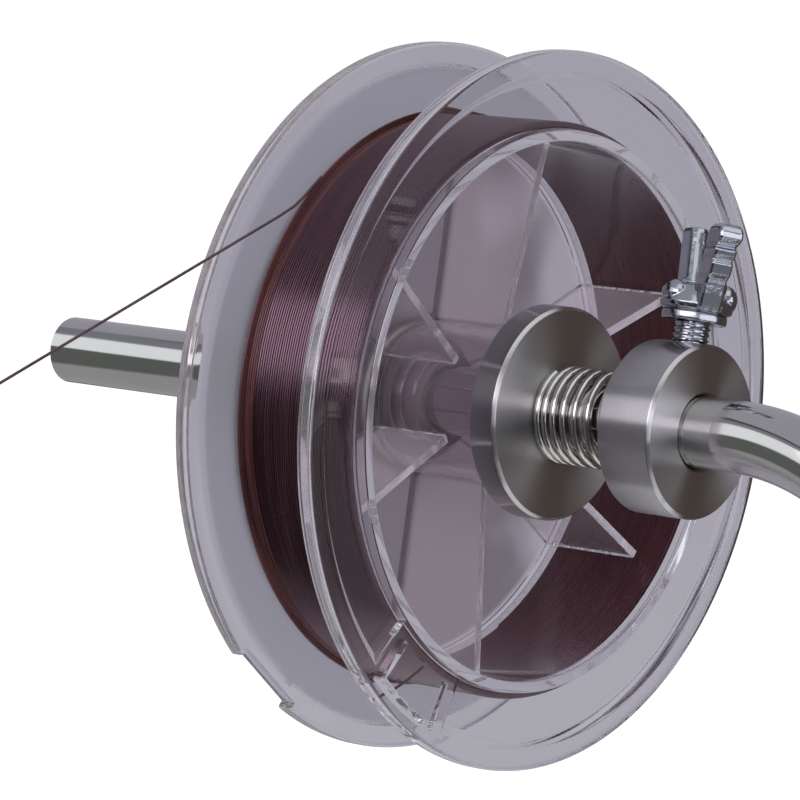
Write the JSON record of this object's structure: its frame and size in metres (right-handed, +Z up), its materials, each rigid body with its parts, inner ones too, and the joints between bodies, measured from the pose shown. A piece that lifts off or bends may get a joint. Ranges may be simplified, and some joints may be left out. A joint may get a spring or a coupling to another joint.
{
  "type": "fishing line winder",
  "caption": "Bent steel rod carrying a clear spool of dark red line, braked by a pressure disc, a coil spring and a clamped collar with a wing bolt.",
  "frame": {"origin": "middle of the lower end of the rod's leg", "axes": "+Z up along the leg, the shaft runs along X at 110 mm height and its free end points to -X"},
  "size_m": [0.167, 0.1494, 0.1605],
  "materials": {
    "bright_steel": "bright drawn bar",
    "turned_steel": "lathe turned",
    "spring_steel": "bright wire",
    "zinc_plate": "bright zinc plate",
    "black_steel": "black oxide",
    "white_nylon": "natural nylon",
    "clear_plastic": "clear moulded polystyrene",
    "maroon_line": "translucent nylon monofilament"
  },
  "bodies": {
    "root": {"bent_rod": "bright_steel", "rear_stop_collar": "turned_steel", "rear_grub_screw": "black_steel", "rear_thrust_washer": "white_nylon", "free_line": "maroon_line", "line_end_loop": "maroon_line"},
    "spool": {"spool_rear_flange": "clear_plastic", "spool_barrel": "clear_plastic", "spool_web": "clear_plastic", "spool_hub_tube": "clear_plastic", "spool_ribs": "clear_plastic", "spool_front_flange": "clear_plastic", "line_core": "maroon_line", "line_top_layer": "maroon_line", "line_tucked_end": "maroon_line"},
    "pressure_plate": {"pressure_disc": "turned_steel"},
    "collar": {"tension_collar": "turned_steel", "tension_spring": "spring_steel"},
    "bolt_washer": {"wing_bolt_washer": "zinc_plate"},
    "wing_bolt": {"wing_bolt_stud": "zinc_plate", "wing_bolt_wings": "zinc_plate"}
  },
  "joints": [
    {"name": "spool_spin", "type": "hinge", "parent": "root", "child": "spool", "pos_m": [-0.08, 0, 0.11], "axis": [1, 0, 0], "continuous": true},
    {"name": "disc_slide", "type": "slide", "parent": "root", "child": "pressure_plate", "axis": [1, 0, 0], "range_m": [0, 0.002], "stiffness_N_per_m": 970, "springref_m": -0.006, "deforming": ["tension_spring"]},
    {"name": "collar_slide", "type": "slide", "parent": "root", "child": "collar", "axis": [1, 0, 0], "range_m": [-0.002, 0.006], "deforming": ["tension_spring"]},
    {"name": "bolt_travel", "type": "slide", "parent": "collar", "child": "bolt_washer", "axis": [0, 0.2588, 0.9659], "range_m": [0, 0.0016]},
    {"name": "bolt_turn", "type": "hinge", "parent": "bolt_washer", "child": "wing_bolt", "pos_m": [-0.0459, 0, 0.11], "axis": [0, 0.2588, 0.9659], "range_deg": [0, 720]}
  ],
  "couplings": [
    {"joint": "bolt_turn", "follows": "bolt_travel", "rad_per_m": 7854}
  ]
}
